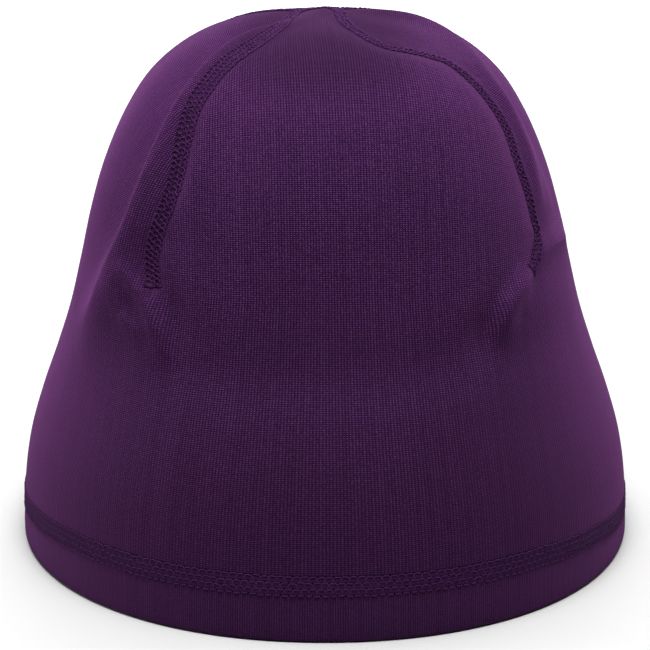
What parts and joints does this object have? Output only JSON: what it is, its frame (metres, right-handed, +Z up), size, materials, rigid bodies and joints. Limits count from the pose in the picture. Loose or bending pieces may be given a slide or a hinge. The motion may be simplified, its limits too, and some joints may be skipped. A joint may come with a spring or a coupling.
{
  "type": "jersey beanie",
  "caption": "Close-fitting stretch jersey beanie with a four-dart rounded crown, raised flatlock seams and a doubled hem, standing on its rim.",
  "frame": {"origin": "on the ground plane, under the middle of the hat's box", "axes": "+Z up from the hem to the top point, -Y towards the front of the hat, +X towards the wearer's left, which is the right side of the picture"},
  "size_m": [0.179, 0.2012, 0.1508],
  "materials": {
    "jersey": "brushed knitted jersey in deep purple, soft matt with a faint sheen",
    "hem_jersey": "the same jersey, doubled along the hem",
    "seam_thread": "flatlock cover thread in dark bluish purple, slightly shiny"
  },
  "bodies": {
    "root": {"crown": "jersey", "hem_band": "hem_jersey"}
  },
  "joints": []
}
